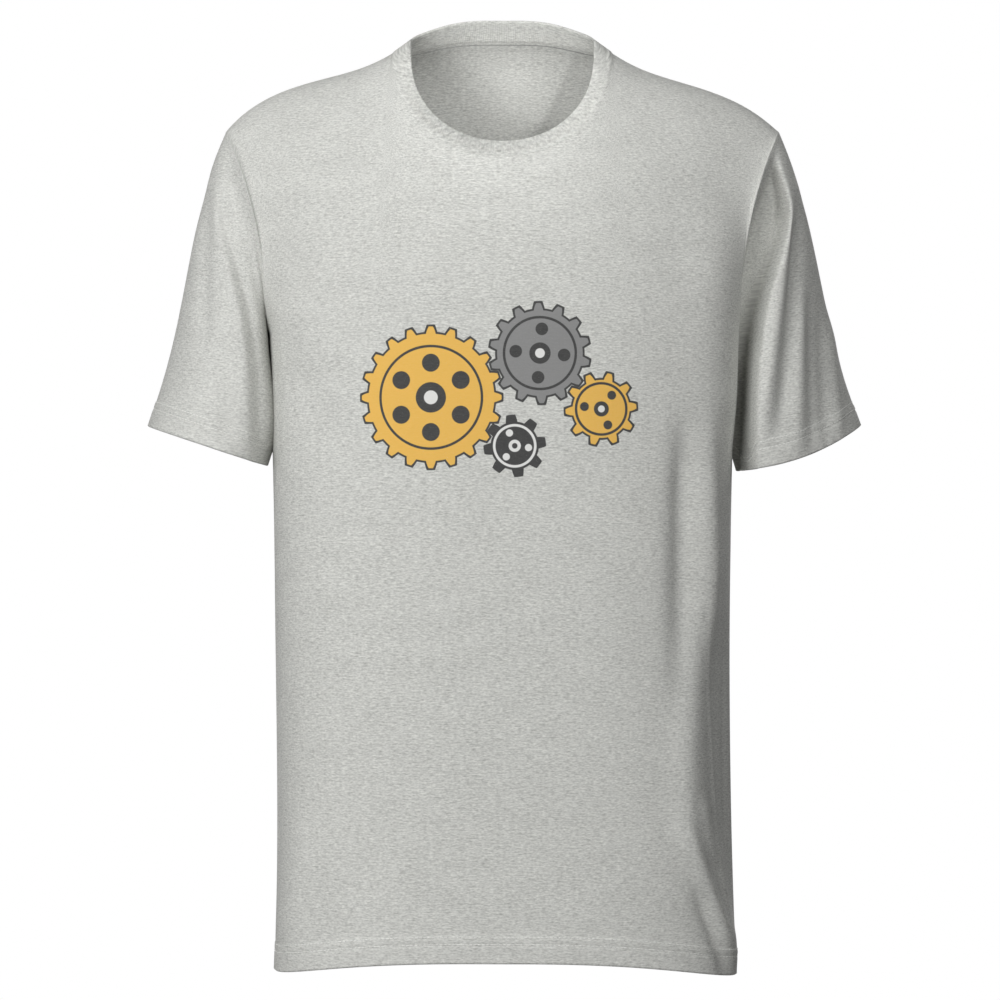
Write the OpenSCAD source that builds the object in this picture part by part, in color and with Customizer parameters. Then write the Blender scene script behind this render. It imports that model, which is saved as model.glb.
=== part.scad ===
// Short-sleeved crew-neck T-shirt, shaped as it hangs on its wearer.
// X points to the wearer's left, Y to the wearer's back and Z up.
// The origin lies midway between the two high shoulder points, where shoulder seam and neckline meet.

/* [Body] */
// Drop from the high shoulder points to the hem at the side seams
body_length = 743; // [640:1:860]
// Drop from the high shoulder points to the underarms
armhole_depth = 228; // [200:1:270]
// Drop from the high shoulder points to the waist
waist_depth = 480; // [400:1:560]
// Half width of the body at the underarms
underarm_half = 188; // [170:1:230]
// Half width of the body at the waist
waist_half = 183; // [160:1:230]
// Half width of the body at the hem
hem_half = 188; // [160:1:240]
// Reach of the chest in front of the side seams
chest_front = 112; // [90:1:140]
// Reach of the shoulder blades behind the side seams
chest_back = 104; // [85:1:130]
// Reach of the front hem in front of the side seams
hem_front = 100; // [80:1:140]
// Reach of the back hem behind the side seams
hem_back = 104; // [80:1:140]
// Hollow of the back at the waist
waist_hollow = 12; // [0:1:25]
// Rise of the front hem's middle above its corners
hem_arch_front = 18; // [0:1:30]
// Rise of the back hem's middle above its corners
hem_arch_back = 6; // [0:1:30]
// Squareness of the body's cross-section, where 2 is an ellipse
body_power = 2.6; // [2:0.1:3.5]

/* [Shoulder and armhole] */
// Half width from shoulder tip to shoulder tip
shoulder_half = 224; // [200:1:250]
// Drop from the high shoulder point to the shoulder tip
shoulder_drop = 63; // [40:1:80]
// Set-back of the shoulder tips
shoulder_back = 6; // [0:1:15]
// Forward reach of the front armhole from the shoulder line
armhole_front = 46; // [35:1:60]
// Backward reach of the back armhole from the shoulder line
armhole_back = 52; // [35:1:65]

/* [Neck] */
// Half width of the neckline at the high shoulder points
neck_half = 89; // [80:1:105]
// Drop of the front neckline
neck_front_drop = 90; // [60:1:110]
// Backward reach of the back neckline
neck_back_reach = 54; // [48:1:70]
// Width of the ribbed neckband
rib_width = 19; // [12:0.5:30]
// Thickness of the folded neckband
rib_t = 2.4; // [1.6:0.1:4]
// Width of the tape over the back neck seam
tape_width = 10; // [6:0.5:16]
// Thickness of the tape
tape_t = 0.6; // [0.4:0.1:1.2]

/* [Sleeve] */
// Length of the sleeve's underarm seam
sleeve_seam = 108; // [70:1:160]
// Half width of the sleeve hem from its inner to its outer edge
sleeve_half_width = 53; // [42:0.5:65]
// Half depth of the sleeve hem from front to back
sleeve_half_depth = 63; // [50:0.5:80]
// Tilt of the sleeve hem above the horizontal at its outer edge
sleeve_tilt = 18; // [5:0.5:30]
// Set-back of the sleeve hem
sleeve_back = 4; // [-10:1:20]
// Set-back of the sleeve hem's outer edge behind its middle
sleeve_sweep = 18; // [0:1:25]
// Gap between the sleeve hem and the side of the body
sleeve_gap = 4; // [2:0.5:20]

/* [Fabric] */
// Thickness of the jersey
fabric_t = 1; // [0.6:0.1:1.6]
// Depth of the turned-up hems
hem_depth = 22; // [12:0.5:35]
// Gap between the neck tape and the back panel
tape_gap = 0.5; // [0.2:0.1:1]

/* [Hidden] */

jersey_colour = [0.78, 0.79, 0.77];
rib_colour = [0.76, 0.77, 0.75];
tape_colour = [0.70, 0.71, 0.69];

front = -1;
back = 1;
hem_z = -body_length;
waist_z = -waist_depth;
underarm_z = -armhole_depth;

// Columns to the neckline and to each shoulder seam, and rows of the body, the yoke and the sleeves
neck_columns = 8;
shoulder_columns = 9;
body_rows = 9;
yoke_rows = 16;
sleeve_rows = 9;

function mix(a, b, k) = a + (b - a) * k;
function ease(k) = k * k * (3 - 2 * k);
function unit(v) = v / norm(v);

// Cubic from point p with velocity u to point q with velocity v
function cubic(p, u, q, v, s) =
    p * (1 + 2 * s) * (1 - s) * (1 - s) + u * s * (1 - s) * (1 - s)
    + q * s * s * (3 - 2 * s) + v * s * s * (s - 1);

// Body between the hem and the underarms. t runs from -1 to 1 across a panel.

function across(t) = sign(t) * pow(abs(sin(90 * t)), 2 / body_power);
function bulge(t) = pow(abs(cos(90 * t)), 2 / body_power);

function side_half(z) =
    let (above = z > waist_z,
         k = above ? (z - waist_z) / (underarm_z - waist_z) : (waist_z - z) / (waist_z - hem_z))
    mix(waist_half, above ? underarm_half : hem_half, k * k);

function reach(face, z) =
    let (k = (z - hem_z) / (underarm_z - hem_z))
    face == front ? mix(hem_front, chest_front, ease(k))
                  : mix(hem_back, chest_back, ease(k)) - waist_hollow * sin(180 * k);

function body_point(face, t, z, inset) =
    [(side_half(z) - inset) * across(t), face * (reach(face, z) - inset) * bulge(t), z];

function hem_edge(face, t) =
    hem_z + (face == front ? hem_arch_front : hem_arch_back) * cos(90 * t) * cos(90 * t);

// Row 0 is the hem's edge, row 1 the top of its turned-up layer, and the last row is at the underarm.
function body_row(face, t, row) =
    row == 0 ? hem_edge(face, t)
             : mix(hem_edge(face, t) + hem_depth, underarm_z, (row - 1) / (body_rows - 1));

// Shoulder line. Each column t of a panel ends on it, over the neck opening too, where it is cut off later.

column_bunching = 1.45;
shoulder_slope = 0.52 * shoulder_drop / (shoulder_half - neck_half);
shoulder_round = 5;
neck_rise = 34;
neck_shape = 3;
neck_spread = 0.9 * neck_half;
neck_blend = 30;

function shoulder_x(t) = shoulder_half * (column_bunching * t + (1 - column_bunching) * t * t * t);

function ridge(x) = -shoulder_slope * sqrt(x * x + neck_blend * neck_blend)
    + neck_rise * exp(-pow(abs(x) / neck_spread, neck_shape));

shoulder_tip_drop = shoulder_drop - ridge(neck_half) + ridge(shoulder_half);

function shoulder_point(t, inset) =
    let (x = shoulder_x(t), q = max(0, (abs(x) - neck_half) / (shoulder_half - neck_half)))
    [x, shoulder_back * q * q,
     ridge(x) - ridge(neck_half) - shoulder_tip_drop * pow(q, shoulder_round) - inset];

// Column at the high shoulder points, then all columns from side to side, bunched towards those points
function column_at(share, t, steps) =
    steps == 0 ? t
               : column_at(share, (share + (column_bunching - 1) * t * t * t) / column_bunching, steps - 1);
neck_share = column_at(neck_half / shoulder_half, 0, 24);
half_columns = concat(
    [for (i = [0 : neck_columns]) neck_share * sin(90 * i / neck_columns)],
    [for (i = [1 : shoulder_columns]) neck_share + (1 - neck_share) * i / shoulder_columns]
);
side_column = len(half_columns) - 1;
columns = concat([for (i = [side_column : -1 : 1]) -half_columns[i]], half_columns);

// Armhole
armhole_round = 2.2;

// turn is 0 at the shoulder tip, 90 at the front and 180 at the underarm. At the underarm the inner wall lies
// towards the body's inside on a panel (side -1) and towards the sleeve's inside on a sleeve (side 1).
function armhole_point(turn, inset, side) =
    let (up = (1 + cos(turn)) / 2,
         depth = sin(turn) > 0 ? -(armhole_front - inset) : -(armhole_back - inset))
    [mix(underarm_half, shoulder_half, pow(up, armhole_round)) + side * inset * (1 - up) * (1 - up),
     shoulder_back * up + depth * sin(turn),
     mix(underarm_z, -shoulder_drop - inset, up)];

// Yoke: each panel above the underarms, up to the neckline and the shoulder seams

front_chest_velocity = 1.35;
back_chest_velocity = 1.6;
front_shoulder_velocity = 1.25;
back_shoulder_velocity = 2.4;
armhole_spread = 5;

function yoke_column(face, t, s, inset) =
    let (chest = body_point(face, t, underarm_z, inset), top = shoulder_point(t, inset),
         rise = face == front ? front_chest_velocity : back_chest_velocity,
         over = face == front ? front_shoulder_velocity : back_shoulder_velocity)
    cubic(chest, [0, 0, rise * (top.z - chest.z)], top, [0, -over * chest.y, 0], s);

function armhole_edge(face, t, s, inset) =
    let (p = armhole_point(-face * 180 * (1 - s), inset, -1))
    [sign(t) * p.x, p.y, p.z];

function yoke_point(face, t, s, inset) =
    t == 0 ? yoke_column(face, t, s, inset)
           : yoke_column(face, t, s, inset) + pow(abs(t), armhole_spread)
             * (armhole_edge(face, t, s, inset) - yoke_column(face, sign(t), s, inset));

// Neckline. The front is an arch in front view and the back an arch in plan, and each column ends on it.

neck_steepness = 0.74;
neck_softness = 0.01;

function soft_power(c) = pow(c * c + neck_softness, neck_steepness / 2);
function dip(c) = (soft_power(c) - soft_power(0)) / (soft_power(1) - soft_power(0));

function above_neckline(face, p) =
    let (c = sqrt(max(0, 1 - p.x * p.x / (neck_half * neck_half))))
    face == front ? p.z > -neck_front_drop * dip(c) : p.y < neck_back_reach * c;

function neck_cut(face, t, low, high, steps) =
    let (s = (low + high) / 2)
    steps == 0 ? s
               : above_neckline(face, yoke_point(face, t, s, 0)) ? neck_cut(face, t, low, s, steps - 1)
                                                                 : neck_cut(face, t, s, high, steps - 1);

function column_end(face, t) = abs(t) < neck_share - 0.0001 ? neck_cut(face, t, 0, 1, 24) : 1;

// The last row of the yoke is as deep as the neck tape, which lies against it.
neck_row_length = 2 * neck_half;
tape_start = 1 - tape_width / neck_row_length;
yoke_shares = concat([for (i = [0 : yoke_rows - 1]) tape_start * i / (yoke_rows - 1)], [1]);

// Panels

panel_rows = body_rows + yoke_rows;

function panel_point(face, t, end, row, inset) =
    row <= body_rows ? body_point(face, t, body_row(face, t, row), inset)
                     : yoke_point(face, t, end * yoke_shares[row - body_rows], inset);

// One column's closed outline: up the outside, down the inside and round the turned-up hem
function panel_ring(face, t) =
    let (end = column_end(face, t))
    concat(
        [for (row = [0 : panel_rows]) panel_point(face, t, end, row, 0)],
        [for (row = [panel_rows : -1 : 1]) panel_point(face, t, end, row, fabric_t)],
        [for (row = [1 : -1 : 0]) panel_point(face, t, end, row, 2 * fabric_t)]
    );

// Faces of a skin through rings of n points, where the last ring joins the first if it is closed
function skin_faces(rings, n, closed) = [
    for (r = [0 : rings - (closed ? 1 : 2)], i = [0 : n - 1])
        let (a = r * n, b = ((r + 1) % rings) * n, j = (i + 1) % n)
        each [[a + i, a + j, b + j], [a + i, b + j, b + i]]
];

// Faces that close an open skin of panel rings at the ring that starts at point a
function panel_cap(a) =
    let (last = 2 * panel_rows + 1)
    concat(
        [[a, a + 1, a + last - 1], [a, a + last - 1, a + last], [a, a + last, a + last + 1]],
        [for (i = [1 : panel_rows - 1])
            each [[a + i, a + i + 1, a + last - 1 - i], [a + i, a + last - 1 - i, a + last - i]]]
    );

function reversed(faces) = [for (f = faces) [f[2], f[1], f[0]]];

module panel(face) {
    rings = [for (t = columns) panel_ring(face, t)];
    n = len(rings[0]);
    walls = skin_faces(len(rings), n, false);
    faces = concat(reversed(walls), panel_cap(0), reversed(panel_cap((len(rings) - 1) * n)));
    polyhedron([for (ring = rings) each ring], face == front ? faces : reversed(faces), convexity = 8);
}

module front_body() {
    color(jersey_colour) panel(front);
}

module back_body() {
    color(jersey_colour) panel(back);
}

// Sleeves. turn is 0 at the shoulder tip or outer edge, 90 at the front and 180 at the underarm.

sleeve_velocity = 1.1;
sleeve_hem_z = underarm_z - sleeve_seam;
sleeve_out = [cos(sleeve_tilt), 0, sin(sleeve_tilt)];
sleeve_down = [sin(sleeve_tilt), 0, -cos(sleeve_tilt)];
sleeve_inner = [side_half(sleeve_hem_z) + sleeve_gap, sleeve_back, sleeve_hem_z];
sleeve_centre = sleeve_inner + sleeve_out * sleeve_half_width;
sleeve_turns = concat(
    [for (i = [0 : yoke_rows]) 180 * (1 - yoke_shares[i])],
    [for (i = [yoke_rows - 1 : -1 : 1]) -180 * (1 - yoke_shares[i])]
);

function sleeve_edge(turn, inset) =
    sleeve_centre + sleeve_out * (sleeve_half_width - inset) * cos(turn)
    + [0, sleeve_sweep * cos(turn) - (sleeve_half_depth - inset) * sin(turn), 0];

function sleeve_start(turn) = unit([0.22 + 0.2 * cos(turn), -0.1 * sin(turn), -1]);

// Row 0 is the armhole, and the last two rows are the top and the edge of the turned-up hem.
function sleeve_point(turn, row, inset) =
    let (edge = sleeve_edge(turn, inset), to = edge - sleeve_down * hem_depth,
         from = armhole_point(turn, inset, 1), speed = sleeve_velocity * norm(to - from))
    row == sleeve_rows ? edge
        : cubic(from, sleeve_start(turn) * speed, to, sleeve_down * speed, row / (sleeve_rows - 1));

function sleeve_ring(turn) = concat(
    [for (row = [0 : sleeve_rows]) sleeve_point(turn, row, 0)],
    [for (row = [sleeve_rows : -1 : sleeve_rows - 1]) sleeve_point(turn, row, 2 * fabric_t)],
    [for (row = [sleeve_rows - 1 : -1 : 0]) sleeve_point(turn, row, fabric_t)]
);

module sleeve() {
    rings = [for (turn = sleeve_turns) sleeve_ring(turn)];
    n = len(rings[0]);
    polyhedron([for (ring = rings) each ring], reversed(skin_faces(len(rings), n, true)), convexity = 8);
}

module left_sleeve() {
    color(jersey_colour) sleeve();
}

module right_sleeve() {
    color(jersey_colour) mirror([1, 0, 0]) sleeve();
}

// Neckband: a folded rib that stands up from the neckline, leaning in at the front and the sides

rib_shares = [0.12, 0.5, 0.86];
rib_crown = 0.7;

// Panel, column and turn of each ring, where turn is 0 at the middle front and 180 at the middle back
neck_steps = concat(
    [for (i = [0 : neck_columns]) [front, half_columns[i], 90 * i / neck_columns]],
    [for (i = [neck_columns - 1 : -1 : 0]) [back, half_columns[i], 180 - 90 * i / neck_columns]],
    [for (i = [1 : neck_columns]) [back, -half_columns[i], 180 + 90 * i / neck_columns]],
    [for (i = [neck_columns - 1 : -1 : 1]) [front, -half_columns[i], 360 - 90 * i / neck_columns]]
);

function rib_lean(side) = 0.5 + 0.28 * pow(side, 12);

function rib_up(turn) =
    let (c = cos(turn))
    unit([-rib_lean(abs(sin(turn))) * sin(turn), (c > 0 ? 0.78 : 0.5) * c,
          0.56 + (c > 0 ? 0.1 * c * c : -0.3 * c)]);

function rib_ring(step) =
    let (end = column_end(step[0], step[1]), up = rib_up(step[2]) * rib_width,
         outer = panel_point(step[0], step[1], end, panel_rows, 0),
         inner = panel_point(step[0], step[1], end, panel_rows, fabric_t),
         out = unit(outer - inner), swell = (rib_t - fabric_t) / 2, middle = (outer + inner) / 2 + up)
    concat(
        [outer],
        [for (k = rib_shares) outer + up * k + out * swell],
        [middle + out * rib_t * rib_crown / 2, middle - out * rib_t * rib_crown / 2],
        [for (i = [len(rib_shares) - 1 : -1 : 0]) inner + up * rib_shares[i] - out * swell],
        [inner]
    );

module neck_rib() {
    rings = [for (step = neck_steps) rib_ring(step)];
    n = len(rings[0]);
    color(rib_colour)
        polyhedron([for (ring = rings) each ring], skin_faces(len(rings), n, true), convexity = 8);
}

// Tape over the neck seam, inside the back panel from one high shoulder point to the other

function tape_ring(t) =
    let (end = column_end(back, t), low = panel_rows - 1, high = panel_rows,
         outer = fabric_t + tape_gap, inner = outer + tape_t)
    [for (place = [[low, outer], [high, outer], [high, inner], [low, inner]])
        panel_point(back, t, end, place[0], place[1])];

module neck_tape() {
    rings = [for (t = columns) if (abs(t) < neck_share + 0.0001) tape_ring(t)];
    end = (len(rings) - 1) * 4;
    faces = concat(skin_faces(len(rings), 4, false),
        [[0, 2, 1], [0, 3, 2], [end, end + 1, end + 2], [end, end + 2, end + 3]]);
    color(tape_colour) polyhedron([for (ring = rings) each ring], faces, convexity = 4);
}

front_body();
back_body();
left_sleeve();
right_sleeve();
neck_rib();
neck_tape();
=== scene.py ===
import math

import bmesh
import bpy
import numpy as np
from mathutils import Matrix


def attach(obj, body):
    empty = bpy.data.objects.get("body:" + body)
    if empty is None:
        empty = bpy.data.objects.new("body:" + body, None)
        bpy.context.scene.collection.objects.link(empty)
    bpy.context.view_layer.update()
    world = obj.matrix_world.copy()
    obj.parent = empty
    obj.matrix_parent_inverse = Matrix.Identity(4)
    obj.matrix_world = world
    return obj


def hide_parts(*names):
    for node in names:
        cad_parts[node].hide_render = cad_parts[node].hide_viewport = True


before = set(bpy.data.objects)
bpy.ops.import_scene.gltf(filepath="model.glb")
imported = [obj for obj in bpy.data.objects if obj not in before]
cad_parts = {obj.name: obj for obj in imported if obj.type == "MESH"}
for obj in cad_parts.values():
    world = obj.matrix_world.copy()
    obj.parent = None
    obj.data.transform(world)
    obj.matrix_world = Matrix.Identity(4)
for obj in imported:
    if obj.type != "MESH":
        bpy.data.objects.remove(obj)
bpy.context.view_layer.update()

# Sizes in millimetres, as in the part's source. FRONT and BACK are the signs of y on the two panels.
MM = 0.001
FRONT, BACK = -1, 1
HEM_Z, WAIST_Z, UNDERARM_Z = -743, -480, -228
UNDERARM_HALF, WAIST_HALF, HEM_HALF = 188, 183, 188
CHEST = {FRONT: 112, BACK: 104}
HEM_REACH = {FRONT: 100, BACK: 104}
HEM_ARCH = {FRONT: 18, BACK: 6}
WAIST_HOLLOW = {FRONT: 0, BACK: 12}
BODY_POWER = 2.6
SHOULDER_HALF, SHOULDER_DROP, SHOULDER_BACK = 224, 63, 6
ARMHOLE = {FRONT: 46, BACK: 52}
NECK_HALF, NECK_DROP, NECK_REACH = 89, 90, 54
RIB_WIDTH, RIB_THICK = 19, 2.4
TAPE_WIDTH = 10
SLEEVE_SEAM, SLEEVE_WIDTH, SLEEVE_DEPTH, SLEEVE_TILT = 108, 53, 63, 18
SLEEVE_BACK, SLEEVE_SWEEP, SLEEVE_GAP = 4, 18, 4
CLOTH = 0.9
HEM = 22
STITCH_ROWS = (HEM - 1.5, HEM - 7.5)


# The shirt's surfaces, on arrays


def mix(a, b, k):
    return a + (b - a) * k


def ease(k):
    k = np.clip(k, 0, 1)
    return k * k * (3 - 2 * k)


def degrees_sin(a):
    return np.sin(np.radians(a))


def degrees_cos(a):
    return np.cos(np.radians(a))


def stack(x, y, z):
    return np.stack(np.broadcast_arrays(x, y, z), axis=-1).astype(float)


def cubic(p, u, q, v, s):
    s = np.asarray(s)[..., None]
    return (
        p * (1 + 2 * s) * (1 - s) ** 2
        + u * s * (1 - s) ** 2
        + q * s * s * (3 - 2 * s)
        + v * s * s * (s - 1)
    )


def across(t):
    return np.sign(t) * np.abs(degrees_sin(90 * t)) ** (2 / BODY_POWER)


def bulge(t):
    return np.abs(degrees_cos(90 * t)) ** (2 / BODY_POWER)


def side_half(z):
    above = (z - WAIST_Z) / (UNDERARM_Z - WAIST_Z)
    below = (WAIST_Z - z) / (WAIST_Z - HEM_Z)
    return WAIST_HALF + np.where(
        z > WAIST_Z, (UNDERARM_HALF - WAIST_HALF) * above**2, (HEM_HALF - WAIST_HALF) * below**2
    )


def body_point(face, t, z):
    k = (z - HEM_Z) / (UNDERARM_Z - HEM_Z)
    hollow = WAIST_HOLLOW[face] * degrees_sin(180 * np.clip(k, 0, 1))
    reach = mix(HEM_REACH[face], CHEST[face], ease(k)) - hollow
    return stack(side_half(z) * across(t), face * reach * bulge(t), z)


COLUMN_BUNCHING = 1.45
SHOULDER_SLOPE = 0.52 * SHOULDER_DROP / (SHOULDER_HALF - NECK_HALF)
SHOULDER_ROUND, ARMHOLE_ROUND, ARMHOLE_SPREAD = 5, 2.2, 5
NECK_RISE, NECK_SHAPE, NECK_SPREAD, NECK_BLEND = 34, 3, 0.9 * NECK_HALF, 30
CHEST_VELOCITY = {FRONT: 1.35, BACK: 1.6}
SHOULDER_VELOCITY = {FRONT: 1.25, BACK: 2.4}
NECK_STEEPNESS, NECK_SOFTNESS = 0.74, 0.01


def shoulder_x(t):
    return SHOULDER_HALF * (COLUMN_BUNCHING * t + (1 - COLUMN_BUNCHING) * t**3)


def ridge(x):
    rise = NECK_RISE * np.exp(-((np.abs(x) / NECK_SPREAD) ** NECK_SHAPE))
    return rise - SHOULDER_SLOPE * np.hypot(x, NECK_BLEND)


TIP_DROP = SHOULDER_DROP - ridge(NECK_HALF) + ridge(SHOULDER_HALF)


def shoulder_point(t):
    x = shoulder_x(t)
    q = np.maximum(0, (np.abs(x) - NECK_HALF) / (SHOULDER_HALF - NECK_HALF))
    return stack(x, SHOULDER_BACK * q * q, ridge(x) - ridge(NECK_HALF) - TIP_DROP * q**SHOULDER_ROUND)


def armhole_point(turn):
    up = (1 + degrees_cos(turn)) / 2
    depth = np.where(degrees_sin(turn) > 0, ARMHOLE[FRONT], ARMHOLE[BACK])
    return stack(
        mix(UNDERARM_HALF, SHOULDER_HALF, up**ARMHOLE_ROUND),
        SHOULDER_BACK * up - depth * degrees_sin(turn),
        mix(UNDERARM_Z, -SHOULDER_DROP, up),
    )


def yoke_column(face, t, s):
    chest = body_point(face, t, np.full_like(t, UNDERARM_Z, dtype=float))
    top = shoulder_point(t)
    rise = stack(0, 0, CHEST_VELOCITY[face] * (top[..., 2] - chest[..., 2]))
    over = stack(0, -SHOULDER_VELOCITY[face] * chest[..., 1], 0)
    return cubic(chest, rise, top, over, s)


def yoke_point(face, t, s):
    side = np.where(t < 0, -1.0, 1.0)
    edge = armhole_point(-face * 180 * (1 - s)) * stack(side, 1, 1)
    pull = (np.abs(t) ** ARMHOLE_SPREAD)[..., None]
    return yoke_column(face, t, s) + pull * (edge - yoke_column(face, side, s))


def neck_column():
    t = 0
    for _ in range(40):
        t = (NECK_HALF / SHOULDER_HALF + (COLUMN_BUNCHING - 1) * t**3) / COLUMN_BUNCHING
    return t


NECK_SHARE = neck_column()


def soft_power(c):
    return (c * c + NECK_SOFTNESS) ** (NECK_STEEPNESS / 2)


def above_neckline(face, p):
    c = np.sqrt(np.maximum(0, 1 - (p[..., 0] / NECK_HALF) ** 2))
    dip = (soft_power(c) - soft_power(0)) / (soft_power(1) - soft_power(0))
    return p[..., 2] > -NECK_DROP * dip if face == FRONT else p[..., 1] < NECK_REACH * c


def column_end(face, t):
    low, high = np.zeros_like(t), np.ones_like(t)
    for _ in range(30):
        s = (low + high) / 2
        above = above_neckline(face, yoke_point(face, t, s))
        high = np.where(above, s, high)
        low = np.where(above, low, s)
    return np.where(np.abs(t) < NECK_SHARE, (low + high) / 2, 1.0)


def hem_edge(face, t):
    return HEM_Z + HEM_ARCH[face] * degrees_cos(90 * t) ** 2


def panel_point(face, t, height, share):
    """A point of a panel, from the share of the way up the body and then the share of the way up the yoke."""
    edge = hem_edge(face, t)
    body = body_point(face, t, mix(edge, UNDERARM_Z, height))
    yoke = yoke_point(face, t, share * column_end(face, t))
    return np.where((share > 0)[..., None], yoke, body)


SLEEVE_OUT = np.array([degrees_cos(SLEEVE_TILT), 0, degrees_sin(SLEEVE_TILT)])
SLEEVE_DOWN = np.array([degrees_sin(SLEEVE_TILT), 0, -degrees_cos(SLEEVE_TILT)])
SLEEVE_Z = UNDERARM_Z - SLEEVE_SEAM
SLEEVE_INNER = np.array([side_half(SLEEVE_Z) + SLEEVE_GAP, SLEEVE_BACK, SLEEVE_Z])
SLEEVE_CENTRE = SLEEVE_INNER + SLEEVE_OUT * SLEEVE_WIDTH
SLEEVE_FLARE, SLEEVE_TOP_FLARE, SLEEVE_TOE, SLEEVE_VELOCITY = 0.22, 0.2, 0.1, 1.1


def sleeve_point(turn, s, below):
    start = armhole_point(turn)
    end = (
        SLEEVE_CENTRE
        + degrees_cos(turn)[..., None] * (SLEEVE_OUT * SLEEVE_WIDTH + np.array([0, SLEEVE_SWEEP, 0]))
        - degrees_sin(turn)[..., None] * np.array([0, SLEEVE_DEPTH, 0])
        - SLEEVE_DOWN * HEM
    )
    flare = SLEEVE_FLARE + SLEEVE_TOP_FLARE * degrees_cos(turn)
    heading = stack(flare, -SLEEVE_TOE * degrees_sin(turn), -1)
    heading = heading / np.linalg.norm(heading, axis=-1, keepdims=True)
    speed = SLEEVE_VELOCITY * np.linalg.norm(end - start, axis=-1, keepdims=True)
    return cubic(start, heading * speed, end, SLEEVE_DOWN * speed, s) + below[..., None] * SLEEVE_DOWN


# Meshes


def finish_piece(name, bm, material):
    mesh = bpy.data.meshes.new(name)
    bm.to_mesh(mesh)
    bm.free()
    piece = bpy.data.objects.new(name, mesh)
    bpy.context.collection.objects.link(piece)
    for face in mesh.polygons:
        face.use_smooth = True
    mesh.materials.append(material)
    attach(piece, "root")
    return piece


def grid_normals(points):
    along = np.gradient(points, axis=0)
    up = np.gradient(points, axis=1)
    normals = np.cross(along, up)
    return normals / np.maximum(1e-9, np.linalg.norm(normals, axis=-1, keepdims=True))


def cloth_grid(points, flat, closed=False):
    """A bmesh grid with its corners at points[column, row], in millimetres, and a UV map of flat metres."""
    columns, rows = points.shape[:2]
    bm = bmesh.new()
    bmesh.ops.create_grid(bm, x_segments=columns - 1, y_segments=rows - 1, size=0.5)
    places = {}
    for vertex in bm.verts:
        i = round((vertex.co.x + 0.5) * (columns - 1))
        j = round((vertex.co.y + 0.5) * (rows - 1))
        places[vertex] = (i, j)
        vertex.co = points[i, j] * MM
    layer = bm.loops.layers.uv.new("flat")
    for face in bm.faces:
        for loop in face.loops:
            loop[layer].uv = flat[places[loop.vert]] * MM
    if closed:
        bmesh.ops.remove_doubles(bm, verts=bm.verts, dist=1e-6)
    return bm


def arc_lengths(points, axis, start):
    steps = np.linalg.norm(np.diff(points, axis=axis), axis=-1)
    zero = np.zeros_like(np.take(steps, [0], axis=axis))
    lengths = np.concatenate([zero, np.cumsum(steps, axis=axis)], axis=axis)
    return lengths - np.take(lengths, [start], axis=axis)


def row_at(points, normals, distance):
    """A line across a grid, that far from its hem edge, and the way out of the cloth there."""
    lengths = arc_lengths(points, 1, 0)
    rows = np.arange(points.shape[1])
    place = np.array([np.interp(distance, column, rows) for column in lengths])
    low = np.floor(place).astype(int)
    part = (place - low)[:, None]
    index = np.arange(points.shape[0])
    high = np.minimum(low + 1, points.shape[1] - 1)
    line = points[index, low] * (1 - part) + points[index, high] * part
    return line, normals[index, low]


def thicken(piece, thickness):
    solid = piece.modifiers.new("thickness", "SOLIDIFY")
    solid.thickness = thickness * MM
    solid.offset = -1
    solid.use_even_offset = False


# Shading


class Socket:
    """A shader value with arithmetic, on the node tree that holds it."""

    def __init__(self, tree, out):
        self.tree, self.out = tree, out

    def node(self, kind, inputs=(), **settings):
        made = self.tree.nodes.new(kind)
        for key, value in settings.items():
            setattr(made, key, value)
        for key, value in dict(inputs).items():
            if isinstance(value, Socket):
                self.tree.links.new(value.out, made.inputs[key])
            else:
                made.inputs[key].default_value = value
        return made

    def pick(self, kind, inputs=(), output=0, **settings):
        return Socket(self.tree, self.node(kind, inputs, **settings).outputs[output])

    def math(self, operation, *values, clamp=False):
        return self.pick("ShaderNodeMath", enumerate((self, *values)), operation=operation, use_clamp=clamp)

    def __add__(self, other):
        return self.math("ADD", other)

    def __sub__(self, other):
        return self.math("SUBTRACT", other)

    def __mul__(self, other):
        return self.math("MULTIPLY", other)

    def __truediv__(self, other):
        return self.math("DIVIDE", other)

    def __rsub__(self, other):
        return (self * -1) + other

    __radd__, __rmul__ = __add__, __mul__

    def sin(self):
        return self.math("SINE")

    def cos(self):
        return self.math("COSINE")

    def max(self, other):
        return self.math("MAXIMUM", other)

    def min(self, other):
        return self.math("MINIMUM", other)

    def clamp(self):
        return self.math("ADD", 0.0, clamp=True)

    def between(self, low, high):
        return self.pick("ShaderNodeMapRange", {0: self, 1: low, 2: high}, interpolation_type="SMOOTHSTEP")

    def blend(self, a, b):
        """Colour a where this is 0, colour b where it is 1."""
        return self.pick("ShaderNodeMix", {0: self, 6: a, 7: b}, output=2, data_type="RGBA")

    def scaled(self, x, y, z=1.0):
        return self.pick("ShaderNodeVectorMath", {0: self, 1: (x, y, z)}, operation="MULTIPLY")

    def noise(self, scale, detail=2.0, rough=0.5):
        inputs = {"Vector": self, "Scale": scale, "Detail": detail, "Roughness": rough}
        return self.pick("ShaderNodeTexNoise", inputs)

    def axes(self):
        parts = self.node("ShaderNodeSeparateXYZ", {0: self})
        return tuple(Socket(self.tree, parts.outputs[i]) for i in range(3))


# Yarn: the cloth's level of grey, how often its patterns repeat in a metre across and up, and the size of the
# knit's loops in metres
YARN_LEVEL, YARN_WARMTH, YARN_CONTRAST = 0.6, 0.02, 0.32
STREAKS, FLECKS, CLOUDS, DARK_YARNS = (170, 760), (420, 1000), (25, 60), (110, 700)
FUZZ = 900.0
WALE, COURSE, COURSE_WAVE = 0.0011, 0.0008, 0.00012


def grey(value, warm=0.0):
    return (value * (1 + warm), value * (1 + warm * 1.3), value * (1 - warm * 1.2), 1.0)


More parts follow.
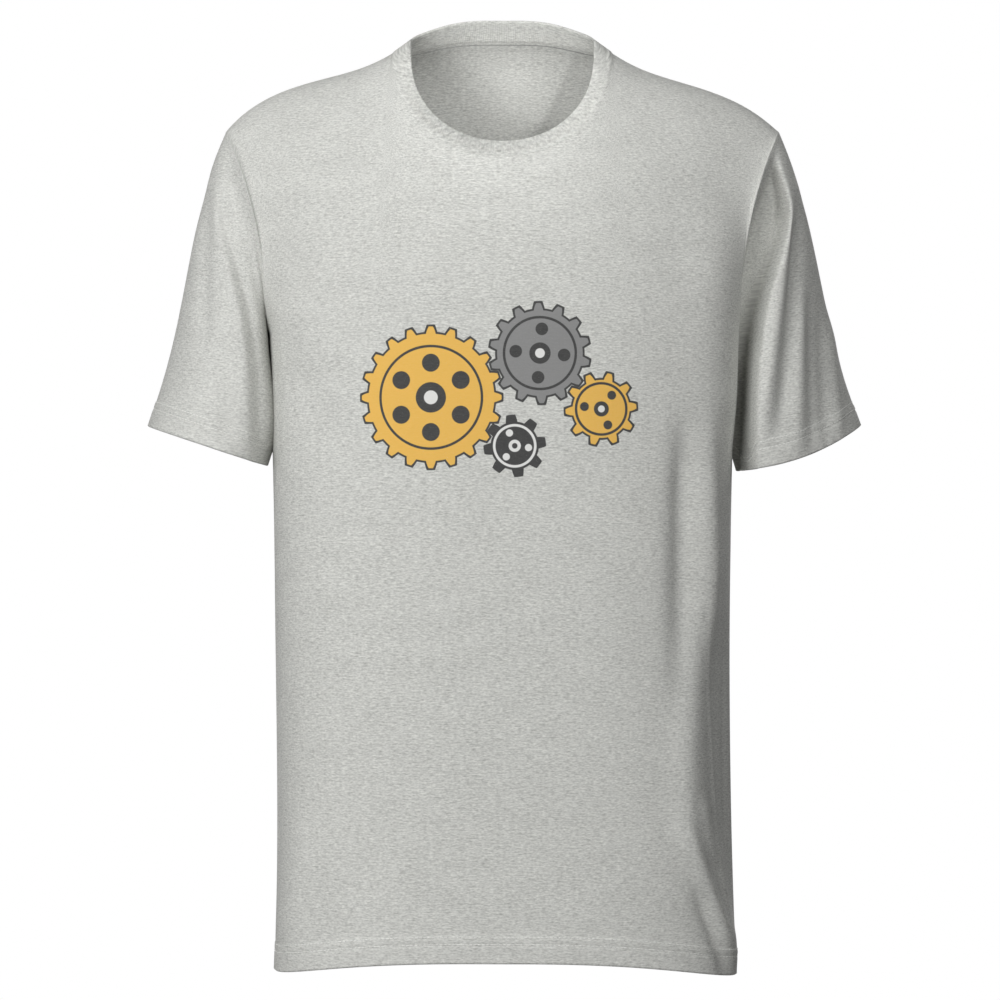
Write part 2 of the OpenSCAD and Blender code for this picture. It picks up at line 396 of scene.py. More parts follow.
def new_material(name):
    material = bpy.data.materials.new(name)
    material.use_nodes = True
    tree = material.node_tree
    shader = tree.nodes["Principled BSDF"]
    flat = Socket(tree, tree.nodes.new("ShaderNodeUVMap").outputs[0])
    flat.out.node.uv_map = "flat"
    return material, tree, shader, flat


def heather(flat):
    """Heather yarn: short pale and dark streaks along the courses, over a soft unevenness."""
    streak = flat.scaled(*STREAKS).noise(1.0, 2.0, 0.6)
    fleck = flat.scaled(*FLECKS).noise(1.0, 1.0, 0.5)
    cloud = flat.scaled(*CLOUDS).noise(1.0, 2.0, 0.5)
    dark_yarn = flat.scaled(*DARK_YARNS).noise(1.0, 1.0, 0.5).between(0.6, 0.72)
    tone = (streak - 0.5) * 1.4 + (fleck - 0.5) * 1.2 + (cloud - 0.5) * 0.3 - dark_yarn * 0.25
    dark = grey(YARN_LEVEL * (1 - YARN_CONTRAST), YARN_WARMTH)
    pale = grey(YARN_LEVEL * (1 + YARN_CONTRAST), YARN_WARMTH)
    return (tone + 0.53).clamp().blend(dark, pale)


def matt_finish(tree, shader, colour, height):
    """Cotton without shine, with a bump of about a third of a millimetre."""
    bump = height.node("ShaderNodeBump", {"Strength": 0.25, "Distance": 0.0003, "Height": height})
    tree.links.new(colour.out, shader.inputs["Base Color"])
    tree.links.new(bump.outputs[0], shader.inputs["Normal"])
    shader.inputs["Roughness"].default_value = 0.92
    shader.inputs["Specular IOR Level"].default_value = 0.25


def jersey_material(name, tint=None):
    """Single jersey, whose colour a tint may change by its place on the flat sheet."""
    material, tree, shader, flat = new_material(name)
    colour = heather(flat)
    u, v, _ = flat.axes()
    wale = (u * (2 * math.pi / WALE)).cos()
    course = ((v + wale * COURSE_WAVE) * (2 * math.pi / COURSE)).cos()
    fuzz = flat.noise(FUZZ, 2.0, 0.6)
    if tint:
        colour = tint(u, v, colour)
    matt_finish(tree, shader, colour, wale * 0.3 + course * 0.3 + fuzz * 0.8)
    shader.inputs["Sheen Weight"].default_value = 0.12
    shader.inputs["Sheen Roughness"].default_value = 0.6
    return material


# Chest print: plain meshing cogwheels, in millimetres from the print's middle
AMBER, CHARCOAL = (0.86, 0.5, 0.085, 1), (0.033, 0.033, 0.034, 1)
STEEL, PALE = (0.25, 0.25, 0.25, 1), (0.8, 0.8, 0.78, 1)
PRINT_AT = (2, -277)
FIRST_COG_AT = (-58.0, -4.0)
TOOTH_PITCH = 5.4
TOOTH_HALF, TOOTH_FLANK = 0.52 * TOOTH_PITCH, 2.4
OUTLINE = 1.6
INK_EDGE = 0.25
RING_AT, HOLES_AT, HOLE, HUB, PIN = 0.74, 0.5, 0.13, 0.22, 0.1
INK_COVER, INK_WEAR = 0.94, 0.5


def cog_row():
    """Cogs that mesh one after another, as (x, y, radius, teeth, phase in degrees, colour)."""
    chain = [(20, None, 0, AMBER), (14, 0, 22, STEEL), (10, 1, -42, AMBER), (8, 0, -30, CHARCOAL)]
    cogs = []
    for teeth, driver, bearing, colour in chain:
        radius = TOOTH_PITCH * teeth / 2
        if driver is None:
            cogs.append((*FIRST_COG_AT, radius, teeth, 0.0, colour))
            continue
        x, y, reach, count, phase, _ = cogs[driver]
        gap = reach + radius
        turned = (bearing - phase) * count / teeth
        cogs.append(
            (
                x + gap * math.cos(math.radians(bearing)),
                y + gap * math.sin(math.radians(bearing)),
                radius,
                teeth,
                bearing + 180 - 180 / teeth + turned,
                colour,
            )
        )
    return cogs


def disc(distance, radius):
    """1 where a distance is within a radius, 0 beyond it, with the ink's soft edge."""
    return 1 - distance.between(radius - INK_EDGE, radius + INK_EDGE)


def cog_print(u, v, cloth):
    x, y = u * 1000 - PRINT_AT[0], v * 1000 - PRINT_AT[1]
    worn = x.pick("ShaderNodeCombineXYZ", {0: x, 1: y}).noise(0.9, 3.0, 0.7).between(0.62, 0.78)
    for cx, cy, radius, teeth, phase, colour in cog_row():
        dx, dy = x - cx, y - cy
        r = (dx * dx + dy * dy).math("SQRT")
        angle = dy.math("ARCTAN2", dx) - math.radians(phase)
        wave = (angle * teeth).cos() * TOOTH_FLANK
        tooth, core = (k.max(-1.0).min(1.0) * TOOTH_HALF for k in (wave, wave - 1.0))
        cover = (radius + tooth - r).between(-INK_EDGE, INK_EDGE)
        rim = 1 - (radius - OUTLINE + core - r).between(-INK_EDGE, INK_EDGE)
        ring = 1 - (r - radius * RING_AT).math("ABSOLUTE").between(0.8, 1.2)
        step = 2 * math.pi / max(3, teeth // 3)
        swing = ((angle / step).math("FRACT") - 0.5) * step
        hx, hy = r * swing.cos() - radius * HOLES_AT, r * swing.sin()
        hole = disc((hx * hx + hy * hy).math("SQRT"), radius * HOLE)
        line = PALE if colour is CHARCOAL else CHARCOAL
        ink = ring.max(hole).max(disc(r, radius * HUB)).blend(colour, line)
        ink = rim.blend(ink, CHARCOAL)
        ink = disc(r, radius * PIN).blend(ink, PALE if line is CHARCOAL else CHARCOAL)
        solid = cover * (1 - worn * INK_WEAR) * INK_COVER
        cloth = solid.blend(cloth, ink)
    return cloth


# The seam's painted shadow, a darker band painted on the tape: from where to where it deepens and fades down
# the tape, and how deep it is along the tape
SHADOW_TOP, SHADOW_BOTTOM = (0.0018, 0.0024), (0.0028, 0.0036)
SHADOW_DEPTH, SHADOW_GROWTH, SHADOW_GREY = 0.55, 3, 0.2


def painted_seam_shadow(u, v, colour):
    """Painted shadow along the neckband's lower edge, by metres down the tape, deepest at the left shoulder.
    """
    painted_shadow_band = v.between(*SHADOW_TOP) * (1 - v.between(*SHADOW_BOTTOM))
    return (painted_shadow_band * (u * SHADOW_GROWTH + SHADOW_DEPTH).clamp()).blend(colour, grey(SHADOW_GREY))


def rib_material():
    material, tree, shader, flat = new_material("heather_rib")
    matt_finish(tree, shader, heather(flat), flat.noise(FUZZ, 2.0, 0.6))
    return material


# Stitch thread painted paler than the cloth: the thread's own colour plus a painted highlight, for the light
# line along the hem's stitched ridge
def highlighted_thread_material():
    material, tree, shader, flat = new_material("stitch_thread_painted_highlight")
    tone = flat.scaled(FUZZ, FUZZ).noise(1.0, 1.0, 0.5)
    tree.links.new(tone.blend(grey(0.75, 0.014), grey(0.9, 0.014)).out, shader.inputs["Base Color"])
    shader.inputs["Roughness"].default_value = 0.7
    return material


JERSEY = jersey_material("heather_jersey")
# The tape's jersey, with the seam's shadow painted on it
PAINTED_SHADOW_TAPE = jersey_material("taped_jersey_painted_shadow", painted_seam_shadow)
PRINTED = jersey_material("printed_jersey", cog_print)
RIB = rib_material()
HIGHLIGHTED_THREAD = highlighted_thread_material()


# Folds: soft ridges and grooves along lines in front view, in millimetres. Each is (start, end, half width at
# the start, half width at the end, height, bend). The bend swings the line's middle to the right of its run.
FOLD_FADE = 0.3
RIPPLES, RIPPLE_HEIGHT = 6, 0.4
RIPPLE_ACROSS, RIPPLE_ACROSS_STEP, RIPPLE_UP, RIPPLE_UP_STEP = 34, 13, 52, 17


def fold_height(x, z, folds):
    total = np.zeros_like(x)
    for start, end, width, end_width, height, bend in folds:
        dx, dz = end[0] - start[0], end[1] - start[1]
        length = math.hypot(dx, dz)
        share = ((x - start[0]) * dx + (z - start[1]) * dz) / length**2
        off = ((x - start[0]) * dz - (z - start[1]) * dx) / length
        inside = np.clip(share, 0, 1)
        off = off - 4 * bend * inside * (1 - inside)
        fade = ease(share / FOLD_FADE) * ease((1 - share) / FOLD_FADE)
        total = total + height * fade * np.exp(-((off / mix(width, end_width, inside)) ** 2))
    return total


def ripple(x, z, seed):
    """A slow unevenness of about one millimetre."""
    turn = np.random.default_rng(seed).uniform(0, 2 * math.pi, 2 * RIPPLES)
    total = np.zeros_like(x)
    for k in range(RIPPLES):
        a = math.cos(turn[k]) / (RIPPLE_ACROSS + RIPPLE_ACROSS_STEP * k)
        b = math.sin(turn[k]) / (RIPPLE_UP + RIPPLE_UP_STEP * k)
        total = total + np.sin(x * a + z * b + turn[k + RIPPLES])
    return total * RIPPLE_HEIGHT


FRONT_FOLDS = [
    ((136, -606), (187, -752), 7, 8, 5.5, -4),
    ((148, -660), (182, -756), 5, 6, -5.0, -3),
    ((156, -590), (178, -660), 5, 6, 2.5, 0),
    ((142, -275), (141, -560), 8, 12, -7.0, 0),
    ((161, -270), (168, -520), 8, 9, 5.0, 0),
    ((144, -420), (146, -670), 13, 12, 4.0, 0),
    ((174, -400), (178, -720), 16, 14, -7.0, 0),
    ((160, -430), (187, -760), 2, 2, 0.9, 0),
    ((172, -110), (168, -340), 22, 24, 6.0, 0),
    ((-185, -230), (-120, -330), 12, 14, -2.0, 0),
    ((-196, -120), (-150, -215), 12, 12, -1.6, 0),
    ((-150, -600), (-184, -735), 12, 12, 2.5, 0),
]
BACK_FOLDS = [
    ((-180, -240), (-90, -330), 14, 14, -3.0, 0),
    ((180, -240), (90, -330), 14, 14, -3.0, 0),
    ((-120, -420), (120, -440), 18, 18, -3.5, 0),
    ((-140, -480), (130, -500), 16, 16, 3.0, 0),
    ((60, -560), (150, -735), 16, 16, 4.0, 0),
    ((-70, -570), (-140, -735), 16, 16, 4.0, 0),
]
LEFT_SLEEVE_FOLDS = [
    ((233, -108), (202, -335), 4, 11, 5.0, 0),
    ((240, -105), (209, -335), 5, 7, -6.0, -3),
    ((240, -170), (231, -335), 4, 6, 2.6, 0),
    ((247, -180), (243, -335), 4, 5, -2.0, 0),
    ((263, -195), (268, -325), 5, 6, 2.4, 0),
    ((254, -190), (255, -325), 4, 5, -1.6, 0),
]
RIGHT_SLEEVE_FOLDS = [
    ((-224, -82), (-186, -232), 4, 5, -4.5, -3),
    ((-214, -100), (-184, -225), 5, 6, 3.0, 0),
    ((-239, -90), (-239, -260), 6, 6, -2.2, 0),
    ((-219, -230), (-219, -330), 8, 9, -3.0, 0),
]


# Panels


HEM_ROWS, BODY_ROWS, YOKE_ROWS = 22, 120, 70
NECK_COLUMNS, SHOULDER_COLUMNS, SIDE_BUNCHING = 28, 56, 1.6
HEM_LAYER, HEM_STEP, LAYER_GAP, HEM_ROUND = 0.5, 1.5, 0.3, 0.7
STITCH_DIP, STITCH_DIP_WIDTH = 0.4, 1.3
# Shares of a panel over which the folds fade out at its sides and top, and over which its seams roll
CALM_SIDE, CALM_TOP, ROLL_EDGE, ROLL_SPREAD, ROLL_TOP = 0.12, 0.15, 0.015, 0.05, 0.2
ARMHOLE_ROLL, SIDE_ROLL = 1.0, 0.7
# The shirt hangs a little askew, with the left shoulder lower and, below LEAN_Z, the right side in and up
SHOULDER_LEAN, LEAN_Z, LEAN_RUN = 1.8, -430, 300
HEM_SHIFT, HEM_RISE, HEM_SIDE_RISE = 4.5, 1.5, 3.5


def panel_rows(face):
    """Heights of a panel's rows up the body, as shares of it, and then their shares of the yoke."""
    length = UNDERARM_Z - HEM_Z - HEM_ARCH[face] * 0.5
    hem = np.linspace(0, HEM / length, HEM_ROWS + 1)
    body = np.linspace(HEM / length, 1, BODY_ROWS - HEM_ROWS + 1)[1:]
    yoke = np.linspace(0, 1, YOKE_ROWS + 1)[1:]
    heights = np.concatenate([hem, body, np.ones(YOKE_ROWS)])
    return heights, np.concatenate([np.zeros(BODY_ROWS + 1), yoke])


def panel_grid(face):
    neck = NECK_SHARE * degrees_sin(np.linspace(0, 90, NECK_COLUMNS + 1))
    beyond = 1 - np.linspace(1, 0, SHOULDER_COLUMNS + 1)[1:] ** SIDE_BUNCHING
    half = np.concatenate([neck, mix(NECK_SHARE, 1, beyond)])
    t = np.concatenate([-half[:0:-1], half])
    heights, shares = panel_rows(face)
    tt, hh = np.meshgrid(t, heights, indexing="ij")
    share = np.broadcast_to(shares, tt.shape)
    return tt, share, panel_point(face, tt, hh, share)


def hem_relief(distance):
    """How the turned-up hem stands out from a sheet: a second layer, pulled in at its rows of stitches."""
    layer = HEM_LAYER * ease((HEM - distance) / HEM_STEP)
    dips = (np.exp(-(((distance - row) / STITCH_DIP_WIDTH) ** 2)) for row in STITCH_ROWS)
    return layer - sum(STITCH_DIP * dip for dip in dips)


def shaped(face, tt, share, points, folds, seed):
    """A panel's points with folds, rolled seams and hem, and the way out of the cloth at each."""
    normals = grid_normals(points) * -face
    x, z = points[..., 0], points[..., 2]
    beside = 1 - np.abs(tt)
    calm = ease(beside / CALM_SIDE) * ease((1 - share) / CALM_TOP)
    move = (fold_height(x, z, folds) + ripple(x, z, seed)) * calm
    roll = np.where(share > 0, ARMHOLE_ROLL * ease((1 - share) / ROLL_TOP), SIDE_ROLL)
    seam = ease(beside / ROLL_EDGE) * np.exp(-((beside / ROLL_SPREAD) ** 2)) * roll
    move = move + seam + hem_relief(arc_lengths(points, 1, 0))
    points = points + normals * move[..., None]
    slope = np.clip((np.abs(tt) - NECK_SHARE) / (1 - NECK_SHARE), 0, 1)
    points[..., 2] -= SHOULDER_LEAN * np.sign(tt) * 4 * slope * (1 - slope) * ease(share)
    low = ease((LEAN_Z - z) / LEAN_RUN)
    points[..., 0] += HEM_SHIFT * np.maximum(0, -tt) * low
    points[..., 2] += (HEM_RISE + HEM_SIDE_RISE * np.maximum(0, -tt)) * low
    return points, normals


def turned_hem(points, normals, rows):
    """The hem's inner layer, folded up behind the first rows, from its top edge down."""
    layer = [points[:, j] - normals[:, j] * (2 * CLOTH + LAYER_GAP) for j in range(rows, 0, -1)]
    middle = points[:, 0] - normals[:, 0] * (CLOTH + LAYER_GAP / 2)
    middle[:, 2] -= HEM_ROUND
    return np.stack([*layer, middle], axis=1)


def make_panel(name, face, folds, seed, material):
    tt, share, points = panel_grid(face)
    points, normals = shaped(face, tt, share, points, folds, seed)
    inner = turned_hem(points, normals, HEM_ROWS)
    sheet = np.concatenate([inner, points], axis=1)
    u = arc_lengths(sheet, 0, sheet.shape[0] // 2)
    over = arc_lengths(points * np.array([0, 1, 1]), 1, BODY_ROWS) + UNDERARM_Z
    v = mix(points[..., 2], over, np.where(share > 0, ease(share) ** 3, 0))
    v = np.concatenate([2 * points[:, :1, 2] - inner[..., 2], v], axis=1)
    bm = cloth_grid(sheet, np.stack([u, v], axis=-1))
    if face == BACK:
        bmesh.ops.reverse_faces(bm, faces=bm.faces)
    piece = finish_piece(name, bm, material)
    thicken(piece, CLOTH)
    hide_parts(name)
    return piece, points, normals


front, front_points, front_normals = make_panel("front_body", FRONT, FRONT_FOLDS, 3, PRINTED)
back, back_points, back_normals = make_panel("back_body", BACK, BACK_FOLDS, 5, JERSEY)


# Sleeves


COURSE_TILT = 8
SLEEVE_ROWS, SLEEVE_BUNCHING = 80, 1.3
SLEEVE_RIPPLE, SLEEVE_CALM, TIP_FADE = 0.8, 0.12, 0.3
# How far the cloth may turn from the front and still fold or swing, and over which change of its normal's y
FOLD_FACING, SWING_FACING = (0.35, 0.5), (0.6, 1.2)
# Where on the sleeve a swing, reach or arch takes hold: a share of its length, or millimetres from the body
SWING_ALONG, SWING_FROM, SWING_RUN, REACH_RUN, ARCH_MIDDLE, ARCH_HALF = 0.4, 10, 70, 60, 45, 50
# The armhole seam's ditch, as shares of the sleeve's length, and the groove between sleeve and body. The
# groove's width and its floor's y are given low and high on the sleeve, with the z and run of the change.
DITCH_EDGE, DITCH_SPREAD = 0.03, 0.08
GROOVE_WIDTH, GROOVE_FLOOR = (7, 24, -285, 150), (2, -16, -270, 130)
GROOVE_TOP, GROOVE_TOP_RUN, GROOVE_SLOPE, GROOVE_EDGE, GROOVE_START = -75, 60, 0.9, 10, 0.06


def sleeve_grid():
    turn = np.linspace(180, -180, 2 * YOKE_ROWS + 1)
    along = np.linspace(0, 1, SLEEVE_ROWS + 1) ** SLEEVE_BUNCHING
    along = np.concatenate([along, np.ones(HEM_ROWS)])
    below = np.concatenate([np.zeros(SLEEVE_ROWS + 1), np.linspace(0, HEM, HEM_ROWS + 1)[1:]])
    tt, ss = np.meshgrid(turn, along, indexing="ij")
    return tt, ss, sleeve_point(tt, ss, np.broadcast_to(below, tt.shape))


def body_edge(z):
    """Half width of the body's outline in front view, at the armholes and below them."""
    loop = armhole_point(np.linspace(180, 0, 91))
    above = np.interp(z, loop[:, 2], loop[:, 0])
    return np.where(z > UNDERARM_Z, above, side_half(z))


def pressed_back(beside, y, z):
    """How far the cloth of a sleeve lies in front of the floor of the groove beside the body."""
    low, high, bottom, run = GROOVE_WIDTH
    width = mix(low, high, ease((z - bottom) / run) ** 1.5) * ease((GROOVE_TOP - z) / GROOVE_TOP_RUN)
    low, high, bottom, run = GROOVE_FLOOR
    floor = mix(low, high, ease((z - bottom) / run)) + GROOVE_SLOPE * np.clip(beside, 0, width)
    return (1 - ease((beside - width) / GROOVE_EDGE)) * np.maximum(0, floor - y)


def facing(normals, limits):
    limit, run = limits
    return ease((limit - normals[..., 1]) / run)


def make_sleeve(name, side, folds, seed, droop, arch, dent, swing, reach):
    """A sleeve, shaped on the left and mirrored by its side. Its hem droops and arches, its front swings back
    and its outer edge reaches out, in millimetres. Beside the body it is dented by a share of the groove."""
    tt, ss, points = sleeve_grid()
    normals = grid_normals(points)
    outward = np.sign(np.mean(np.sum(normals * (points - points.mean(axis=0)), axis=-1)))
    normals = normals * outward
    x, z = points[..., 0] * side, points[..., 2]
    below_tip = ease((1 - degrees_cos(tt)) / TIP_FADE)
    move = fold_height(x, z, folds) * facing(normals, FOLD_FACING) + ripple(x, z, seed) * SLEEVE_RIPPLE
    move = move * ease(ss / SLEEVE_CALM)
    move = move - ease(ss / DITCH_EDGE) * np.exp(-((ss / DITCH_SPREAD) ** 2)) * below_tip
    move = move + hem_relief(-arc_lengths(points, 1, points.shape[1] - 1))
    points = points + normals * move[..., None]
    beside = np.abs(x) - body_edge(z)
    groove = below_tip * ease(ss / GROOVE_START)
    points[..., 1] += dent * groove * pressed_back(beside, points[..., 1], z)
    hold = ease(ss / SWING_ALONG) * ease((beside - SWING_FROM) / SWING_RUN)
    points[..., 1] += swing * facing(normals, SWING_FACING) * hold
    points[..., 0] += reach * ss * ease(beside / REACH_RUN)
    points[..., 2] += (arch * ((beside - ARCH_MIDDLE) / ARCH_HALF) ** 2 - droop) * ss**2
    points[-1] = points[0]
    normals = grid_normals(points) * outward
    inner = turned_hem(points[:, ::-1], normals[:, ::-1], HEM_ROWS)[:, ::-1]
    sheet = np.concatenate([points, inner], axis=1)
    u = arc_lengths(sheet, 0, YOKE_ROWS)
    v = points[..., 2] * degrees_cos(COURSE_TILT) - points[..., 0] * degrees_sin(COURSE_TILT)
    v = np.concatenate([v, 2 * v[:, -1:] - v[:, -2 : -inner.shape[1] - 2 : -1]], axis=1)
    mirror = np.array([side, 1, 1])
    bm = cloth_grid(sheet * mirror, np.stack([u, v], axis=-1), closed=True)
    bmesh.ops.recalc_face_normals(bm, faces=bm.faces)
    piece = finish_piece(name, bm, JERSEY)
    thicken(piece, CLOTH)
    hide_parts(name)
    return piece, points * mirror, normals * mirror


left_sleeve, left_points, left_normals = make_sleeve(
    "left_sleeve", 1, LEFT_SLEEVE_FOLDS, seed=7, droop=6.0, arch=7.0, dent=0.78, swing=24.0, reach=4.0
)
right_sleeve, right_points, right_normals = make_sleeve(
    "right_sleeve", -1, RIGHT_SLEEVE_FOLDS, seed=11, droop=-2.8, arch=0.0, dent=0.15, swing=0.0, reach=-1.0
)


# Neckband


NECK_SAMPLES, SMOOTH_REACH, SMOOTH_WIDTH = 1440, 20, 9.0
# How the band leans in at the sides, at the shoulder seams, in front and behind, and how steeply it rises
SIDE_LEAN, SEAM_LEAN, SEAM_LEAN_POWER, FRONT_LEAN, BACK_LEAN = 0.5, 0.28, 12, 0.78, 0.5
BAND_RISE, FRONT_RISE, BACK_RISE = 0.56, 0.1, 0.3
RIBS, RIB_STEPS, RIB_RELIEF, RIB_FOOT, RIB_GROWTH = 300, 6, 0.09, 0.3, 6
# The band's section: its rows up each side and over its fold, the shares of its width where they start and
# end, and how its outer and inner side swell from the seam
SIDE_ROWS, FOLD_ROWS, BAND_FOOT, BAND_TOP = 12, 6, -0.06, 0.93
OUTER_SWELL, INNER_SWELL = (0.45, 5), (0.75, 8)
TAPE_ROWS, TAPE_THICK, TAPE_SINK, TAPE_EDGE = 11, 0.25, 0.3, 4


def rib_up(turn):
    """The way up the band: it leans in over the neck, most at the sides, and is steepest at the back."""
    c = degrees_cos(turn)
    up = stack(
        -(SIDE_LEAN + SEAM_LEAN * degrees_sin(turn) ** SEAM_LEAN_POWER) * degrees_sin(turn),
        np.where(c > 0, FRONT_LEAN, BACK_LEAN) * c,
        BAND_RISE + np.where(c > 0, FRONT_RISE * c * c, -BACK_RISE * c),
    )
    return up / np.linalg.norm(up, axis=-1, keepdims=True)


def neck_loop(steps):
    """Points of the neckline, the way up the band and the way out of it, evenly spaced round the neck."""
    turn = np.linspace(0, 360, NECK_SAMPLES + 1)[:-1]
    t = NECK_SHARE * degrees_sin(turn)
    ahead = degrees_cos(turn) > 0
    points = np.where(
        ahead[:, None],
        yoke_point(FRONT, t, column_end(FRONT, t)),
        yoke_point(BACK, t, column_end(BACK, t)),
    )
    kernel = np.exp(-((np.arange(-SMOOTH_REACH, SMOOTH_REACH + 1) / SMOOTH_WIDTH) ** 2))
    kernel = kernel / kernel.sum()

    def smooth(rows):
        wrapped = np.concatenate([rows[-SMOOTH_REACH:], rows, rows[:SMOOTH_REACH]])
        return np.stack([np.convolve(wrapped[:, k], kernel, "valid") for k in range(3)], axis=-1)

    points = smooth(points)
    up = smooth(rib_up(turn))
    ring = np.concatenate([points, points[:1]])
    length = np.concatenate([[0], np.cumsum(np.linalg.norm(np.diff(ring, axis=0), axis=-1))])
    wanted = np.linspace(0, length[-1], steps + 1)

    def resample(rows):
        rows = np.concatenate([rows, rows[:1]])
        return np.stack([np.interp(wanted, length, rows[:, k]) for k in range(3)], axis=-1)

    points, up = resample(points), resample(up)
    up = up / np.linalg.norm(up, axis=-1, keepdims=True)
    along = np.roll(points[:-1], -1, axis=0) - np.roll(points[:-1], 1, axis=0)
    along = np.concatenate([along, along[:1]])
    out = np.cross(along, up)
    out = out / np.linalg.norm(out, axis=-1, keepdims=True)
    return points, up, out, length[-1]


def make_neckband():
    steps = RIBS * RIB_STEPS
    points, up, out, length = neck_loop(steps)
    phase = np.arange(steps + 1) / RIB_STEPS * 2 * math.pi
    rib = np.cos(phase) * RIB_RELIEF
    rising = np.linspace(BAND_FOOT, BAND_TOP, SIDE_ROWS)
    falling = np.linspace(BAND_TOP, BAND_FOOT, SIDE_ROWS)[1:]
    wide = np.concatenate([rising, np.full(FOLD_ROWS, BAND_TOP), falling])
    over = np.linspace(90, -90, FOLD_ROWS + 1)[1:]
    swing = np.concatenate([np.full(SIDE_ROWS, 90.0), over, np.full(SIDE_ROWS - 1, -90.0)])
    half = RIB_THICK / 2
    rows = []
    for share, angle in zip(wide, swing):
        rise = share * RIB_WIDTH + half * math.cos(math.radians(angle))
        foot, growth = OUTER_SWELL if angle > 0 else INNER_SWELL
        swell = half * math.sin(math.radians(angle)) * min(1.0, foot + share * growth)
        wave = rib * math.sin(math.radians(angle)) * min(1.0, RIB_FOOT + share * RIB_GROWTH)
        rows.append(points + up * rise + out * (swell + wave - CLOTH / 2)[:, None])
    sheet = np.stack(rows, axis=1)
    flat = np.stack([sheet[..., 0], sheet[..., 2] - sheet[..., 1] / 2], axis=-1)
    bm = cloth_grid(sheet, flat, closed=True)
    bmesh.ops.recalc_face_normals(bm, faces=bm.faces)
    piece = finish_piece("neck_rib", bm, RIB)
    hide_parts("neck_rib")
    return piece, length


neckband, neck_length = make_neckband()


def make_tape():
    middle = back_points.shape[0] // 2
    neck = slice(middle - NECK_COLUMNS, middle + NECK_COLUMNS + 1)
    rows = []
    for distance in np.linspace(0, TAPE_WIDTH, TAPE_ROWS):
        line, normal = row_at(back_points[neck, ::-1], back_normals[neck, ::-1], distance)
        sink = TAPE_SINK * ease((distance - TAPE_WIDTH + TAPE_EDGE) / TAPE_EDGE)
        rows.append(line - normal * (CLOTH - sink))
    points = np.stack(rows, axis=1)
    u = arc_lengths(points, 0, NECK_COLUMNS)
    v = arc_lengths(points, 1, 0)
    bm = cloth_grid(points, np.stack([u, v], axis=-1))
    piece = finish_piece("neck_tape", bm, PAINTED_SHADOW_TAPE)
    thicken(piece, TAPE_THICK)
    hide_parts("neck_tape")
    return piece


tape = make_tape()


# Stitching


STITCH_LENGTH, STITCH_GAP, STITCH_RADIUS, STITCH_FLATNESS, STITCH_LIFT = 2.9, 0.4, 0.4, 0.8, 0.12


def stitch_shape():
    bm = bmesh.new()
    bmesh.ops.create_uvsphere(bm, u_segments=6, v_segments=5, radius=1.0)
    mesh = bpy.data.meshes.new("stitch")
    bm.to_mesh(mesh)
    bm.free()
    return mesh, np.array([vertex.co for vertex in mesh.vertices])


STITCH, STITCH_CORNERS = stitch_shape()


def stitch_row(bm, path, normals):
    """Lays short rounded stitches along a path, each a squashed sphere on the cloth."""
    run = np.concatenate([[0], np.cumsum(np.linalg.norm(np.diff(path, axis=0), axis=-1))])
    count = int(run[-1] / (STITCH_LENGTH + STITCH_GAP))
    middles = (np.arange(count) + 0.5) * run[-1] / count

    def at(rows, places):
        return np.stack([np.interp(places, run, rows[:, i]) for i in range(3)], axis=-1)

    along = at(path, middles + STITCH_LENGTH / 2) - at(path, middles - STITCH_LENGTH / 2)
    along = along / np.linalg.norm(along, axis=-1, keepdims=True)
    normal = at(normals, middles)
    normal = normal - along * np.sum(normal * along, axis=-1, keepdims=True)
    normal = normal / np.linalg.norm(normal, axis=-1, keepdims=True)
    side = np.cross(normal, along)
    axes = np.stack(
        [side * STITCH_RADIUS, normal * STITCH_RADIUS * STITCH_FLATNESS, along * STITCH_LENGTH / 2], axis=1
    )
    for turned, centre in zip(axes, at(path, middles) + normal * STITCH_LIFT):
        STITCH.vertices.foreach_set("co", ((STITCH_CORNERS @ turned + centre) * MM).ravel())
        bm.from_mesh(STITCH)


def finish_stitches(name, bm):
    layer = bm.loops.layers.uv.new("flat")
    for face in bm.faces:
        for loop in face.loops:
            loop[layer].uv = (loop.vert.co.x + loop.vert.co.y, loop.vert.co.z)
    return finish_piece(name, bm, HIGHLIGHTED_THREAD)


def make_stitches():
    body = bmesh.new()
    for points, normals in ((front_points, front_normals), (back_points, back_normals)):
        for distance in STITCH_ROWS:
            stitch_row(body, *row_at(points, normals, distance))
    sleeves = []
    for points, normals, name in (
        (left_points, left_normals, "left_sleeve_stitches"),
        (right_points, right_normals, "right_sleeve_stitches"),
    ):
        bm = bmesh.new()
        for distance in STITCH_ROWS:
            stitch_row(bm, *row_at(points[:, ::-1], normals[:, ::-1], distance))
        sleeves.append(finish_stitches(name, bm))
    return finish_stitches("hem_stitches", body), sleeves


hem_stitches, sleeve_stitches = make_stitches()
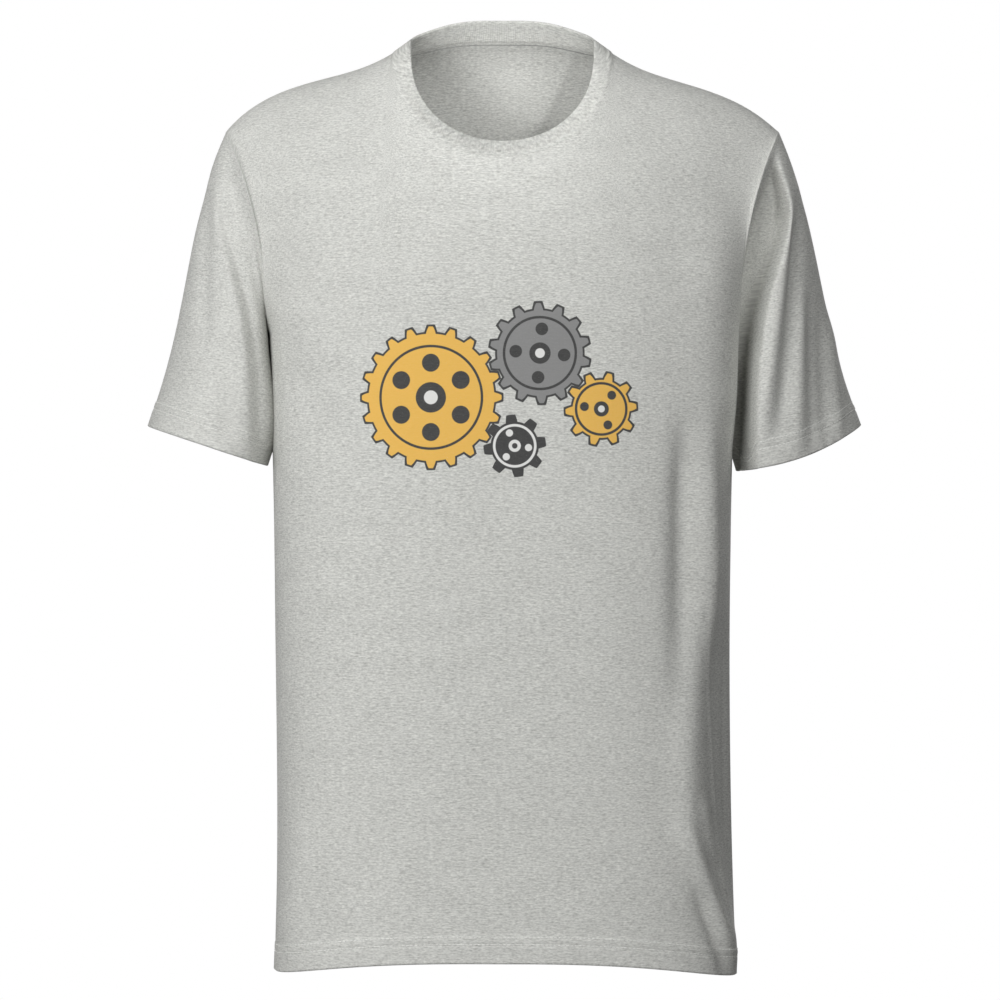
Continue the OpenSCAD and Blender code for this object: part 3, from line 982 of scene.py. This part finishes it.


# Light and camera, in metres
SHIRT_MIDDLE = (0, 0, -0.35)
AREA_LAMPS = [
    ("key", (-1.37, -2.95, -0.15), 1.3, 52),
    ("high_left", (-1.98, -1.98, 1.4), 1.3, 28),
    ("left", (-3.15, -0.6, 0.2), 1.3, 14),
    ("right_fill", (1.5, -2.35, 1.35), 1.3, 36),
    ("back_fill", (0.8, 3.1, 0.6), 1.6, 75),
    ("low_fill", (0.0, 0.4, -3.0), 0.6, 12),
]
NECK_LAMP_AT, NECK_LAMP_TARGET = (0.6, -2.4, 0.12), (-0.02, 0.06, -0.022)
SHADE = (0.02, 0.02, 0.02, 1)
WHITE = (1, 1, 1, 1)
CAMERA_DISTANCE, CAMERA_X, CAMERA_Z = 3.0, -0.002, -0.361
PICTURE_WIDTH, SENSOR_WIDTH = 0.809, 36


def aim(thing, target):
    direction = np.array(target) - np.array(thing.location)
    flat_run = math.hypot(direction[0], direction[1])
    thing.rotation_euler = (math.atan2(flat_run, -direction[2]), 0, math.atan2(-direction[0], direction[1]))


def add_lamp(lamp, place, target):
    thing = bpy.data.objects.new(lamp.name, lamp)
    bpy.context.collection.objects.link(thing)
    thing.location = place
    aim(thing, target)


def area_lamp(name, place, size, power):
    lamp = bpy.data.lights.new(name, "AREA")
    lamp.energy = power
    lamp.size = size
    add_lamp(lamp, place, SHIRT_MIDDLE)


def neck_lamp():
    """A narrow lamp into the neck, where the band shades the inside of the back."""
    lamp = bpy.data.lights.new("neck_fill", "SPOT")
    lamp.energy = 140
    lamp.spot_size = math.radians(4.9)
    lamp.spot_blend = 1
    lamp.shadow_soft_size = 0.1
    add_lamp(lamp, NECK_LAMP_AT, NECK_LAMP_TARGET)


scene = bpy.context.scene
scene.view_settings.view_transform = "Standard"

world = bpy.data.worlds.new("studio")
scene.world = world
world.use_nodes = True
sky = world.node_tree
background = sky.nodes["Background"]
path = Socket(sky, sky.nodes.new("ShaderNodeLightPath").outputs["Is Camera Ray"])
sky.links.new(path.blend(SHADE, WHITE).out, background.inputs["Color"])
background.inputs["Strength"].default_value = 1

for name, place, size, power in AREA_LAMPS:
    area_lamp(name, place, size, power)
neck_lamp()

lens = bpy.data.cameras.new("camera")
lens.sensor_width = SENSOR_WIDTH
lens.lens = SENSOR_WIDTH * CAMERA_DISTANCE / PICTURE_WIDTH
lens.clip_end = 50
camera = bpy.data.objects.new("camera", lens)
bpy.context.collection.objects.link(camera)
camera.location = (CAMERA_X, -CAMERA_DISTANCE, CAMERA_Z)
camera.rotation_euler = (math.radians(90), 0, 0)
scene.camera = camera
